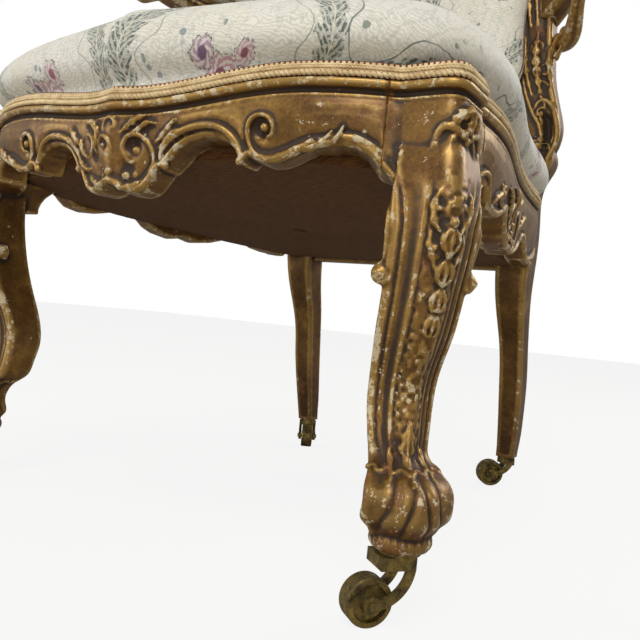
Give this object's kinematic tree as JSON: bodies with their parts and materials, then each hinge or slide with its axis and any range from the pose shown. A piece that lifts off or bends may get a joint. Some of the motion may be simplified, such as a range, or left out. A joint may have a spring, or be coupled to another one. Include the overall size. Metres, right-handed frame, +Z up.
{
  "type": "giltwood armchair",
  "caption": "Rococo style giltwood armchair with carved serpentine rails, cabriole front legs, sprung brocade seat, padded back, open padded arms and brass casters.",
  "frame": {"origin": "on the floor under the middle of the chair's bounding box", "axes": "+X to the right of someone who faces the chair's front, +Y to the chair's back, +Z up"},
  "size_m": [0.6438, 0.7209, 1.0306],
  "materials": {
    "gilt_wood": "worn antique water gilding over bole and gesso",
    "beech": "plain, unfinished",
    "brocade": "cream brocade with dark green scrolls and pink flowers",
    "back_cloth": "plain woven cream cloth",
    "gimp_braid": "straw coloured woven braid",
    "stuffing": "hair and fibre",
    "webbing": "jute webbing",
    "hessian": "coarse hessian",
    "dust_cloth": "brown dust cover cloth",
    "steel": "dull drawn steel",
    "brass": "aged dark brass with worn bright edges"
  },
  "bodies": {
    "chair": {"front_rail": "gilt_wood", "side_rail_right": "gilt_wood", "side_rail_left": "gilt_wood", "front_leg_right": "gilt_wood", "front_leg_left": "gilt_wood", "rear_post_right": "gilt_wood", "rear_post_left": "gilt_wood", "crest_rail": "gilt_wood", "lower_back_rail": "gilt_wood", "arm_right": "gilt_wood", "arm_left": "gilt_wood", "arm_bracket_right": "gilt_wood", "arm_bracket_left": "gilt_wood", "rear_rail": "gilt_wood", "corner_blocks": "beech", "joint_dowels": "beech", "seat_cover": "brocade", "back_cover": "brocade", "arm_pad_right": "brocade", "arm_pad_left": "brocade", "outside_back_cover": "back_cloth", "seat_gimp": "gimp_braid", "back_gimp": "gimp_braid", "arm_gimp_right": "gimp_braid", "arm_gimp_left": "gimp_braid", "seat_stuffing": "stuffing", "back_pad": "stuffing", "seat_webbing": "webbing", "back_webbing": "webbing", "spring_hessian": "hessian", "dust_cover": "dust_cloth", "seat_springs": "steel", "corner_block_screws": "steel", "dust_cover_tacks": "steel", "caster_screws": "brass", "caster_socket_front_right": "brass", "caster_socket_front_left": "brass", "caster_socket_rear_right": "brass", "caster_socket_rear_left": "brass"},
    "fork_front_right": {"caster_fork_front_right": "brass", "caster_axle_front_right": "brass"},
    "wheel_front_right": {"caster_wheel_front_right": "brass"},
    "fork_front_left": {"caster_fork_front_left": "brass", "caster_axle_front_left": "brass"},
    "wheel_front_left": {"caster_wheel_front_left": "brass"},
    "fork_rear_right": {"caster_fork_rear_right": "brass", "caster_axle_rear_right": "brass"},
    "wheel_rear_right": {"caster_wheel_rear_right": "brass"},
    "fork_rear_left": {"caster_fork_rear_left": "brass", "caster_axle_rear_left": "brass"},
    "wheel_rear_left": {"caster_wheel_rear_left": "brass"}
  },
  "joints": [
    {"name": "swivel_front_right", "type": "hinge", "parent": "chair", "child": "fork_front_right", "pos_m": [0.275, -0.26235, 0.05], "axis": [0, 0, 1], "continuous": true},
    {"name": "roll_front_right", "type": "hinge", "parent": "fork_front_right", "child": "wheel_front_right", "pos_m": [0.2599, -0.281, 0.019], "axis": [0.7771, -0.6293, 0], "continuous": true},
    {"name": "swivel_front_left", "type": "hinge", "parent": "chair", "child": "fork_front_left", "pos_m": [-0.275, -0.26235, 0.05], "axis": [0, 0, 1], "continuous": true},
    {"name": "roll_front_left", "type": "hinge", "parent": "fork_front_left", "child": "wheel_front_left", "pos_m": [-0.27917, -0.28599, 0.019], "axis": [0.9848, -0.1736, 0], "continuous": true},
    {"name": "swivel_rear_right", "type": "hinge", "parent": "chair", "child": "fork_rear_right", "pos_m": [0.183, 0.31265, 0.05], "axis": [0, 0, 1], "continuous": true},
    {"name": "roll_rear_right", "type": "hinge", "parent": "fork_rear_right", "child": "wheel_rear_right", "pos_m": [0.1631, 0.29923, 0.019], "axis": [0.5592, -0.829, 0], "continuous": true},
    {"name": "swivel_rear_left", "type": "hinge", "parent": "chair", "child": "fork_rear_left", "pos_m": [-0.183, 0.31265, 0.05], "axis": [0, 0, 1], "continuous": true},
    {"name": "roll_rear_left", "type": "hinge", "parent": "fork_rear_left", "child": "wheel_rear_left", "pos_m": [-0.16958, 0.29275, 0.019], "axis": [0.829, 0.5592, 0], "continuous": true}
  ]
}
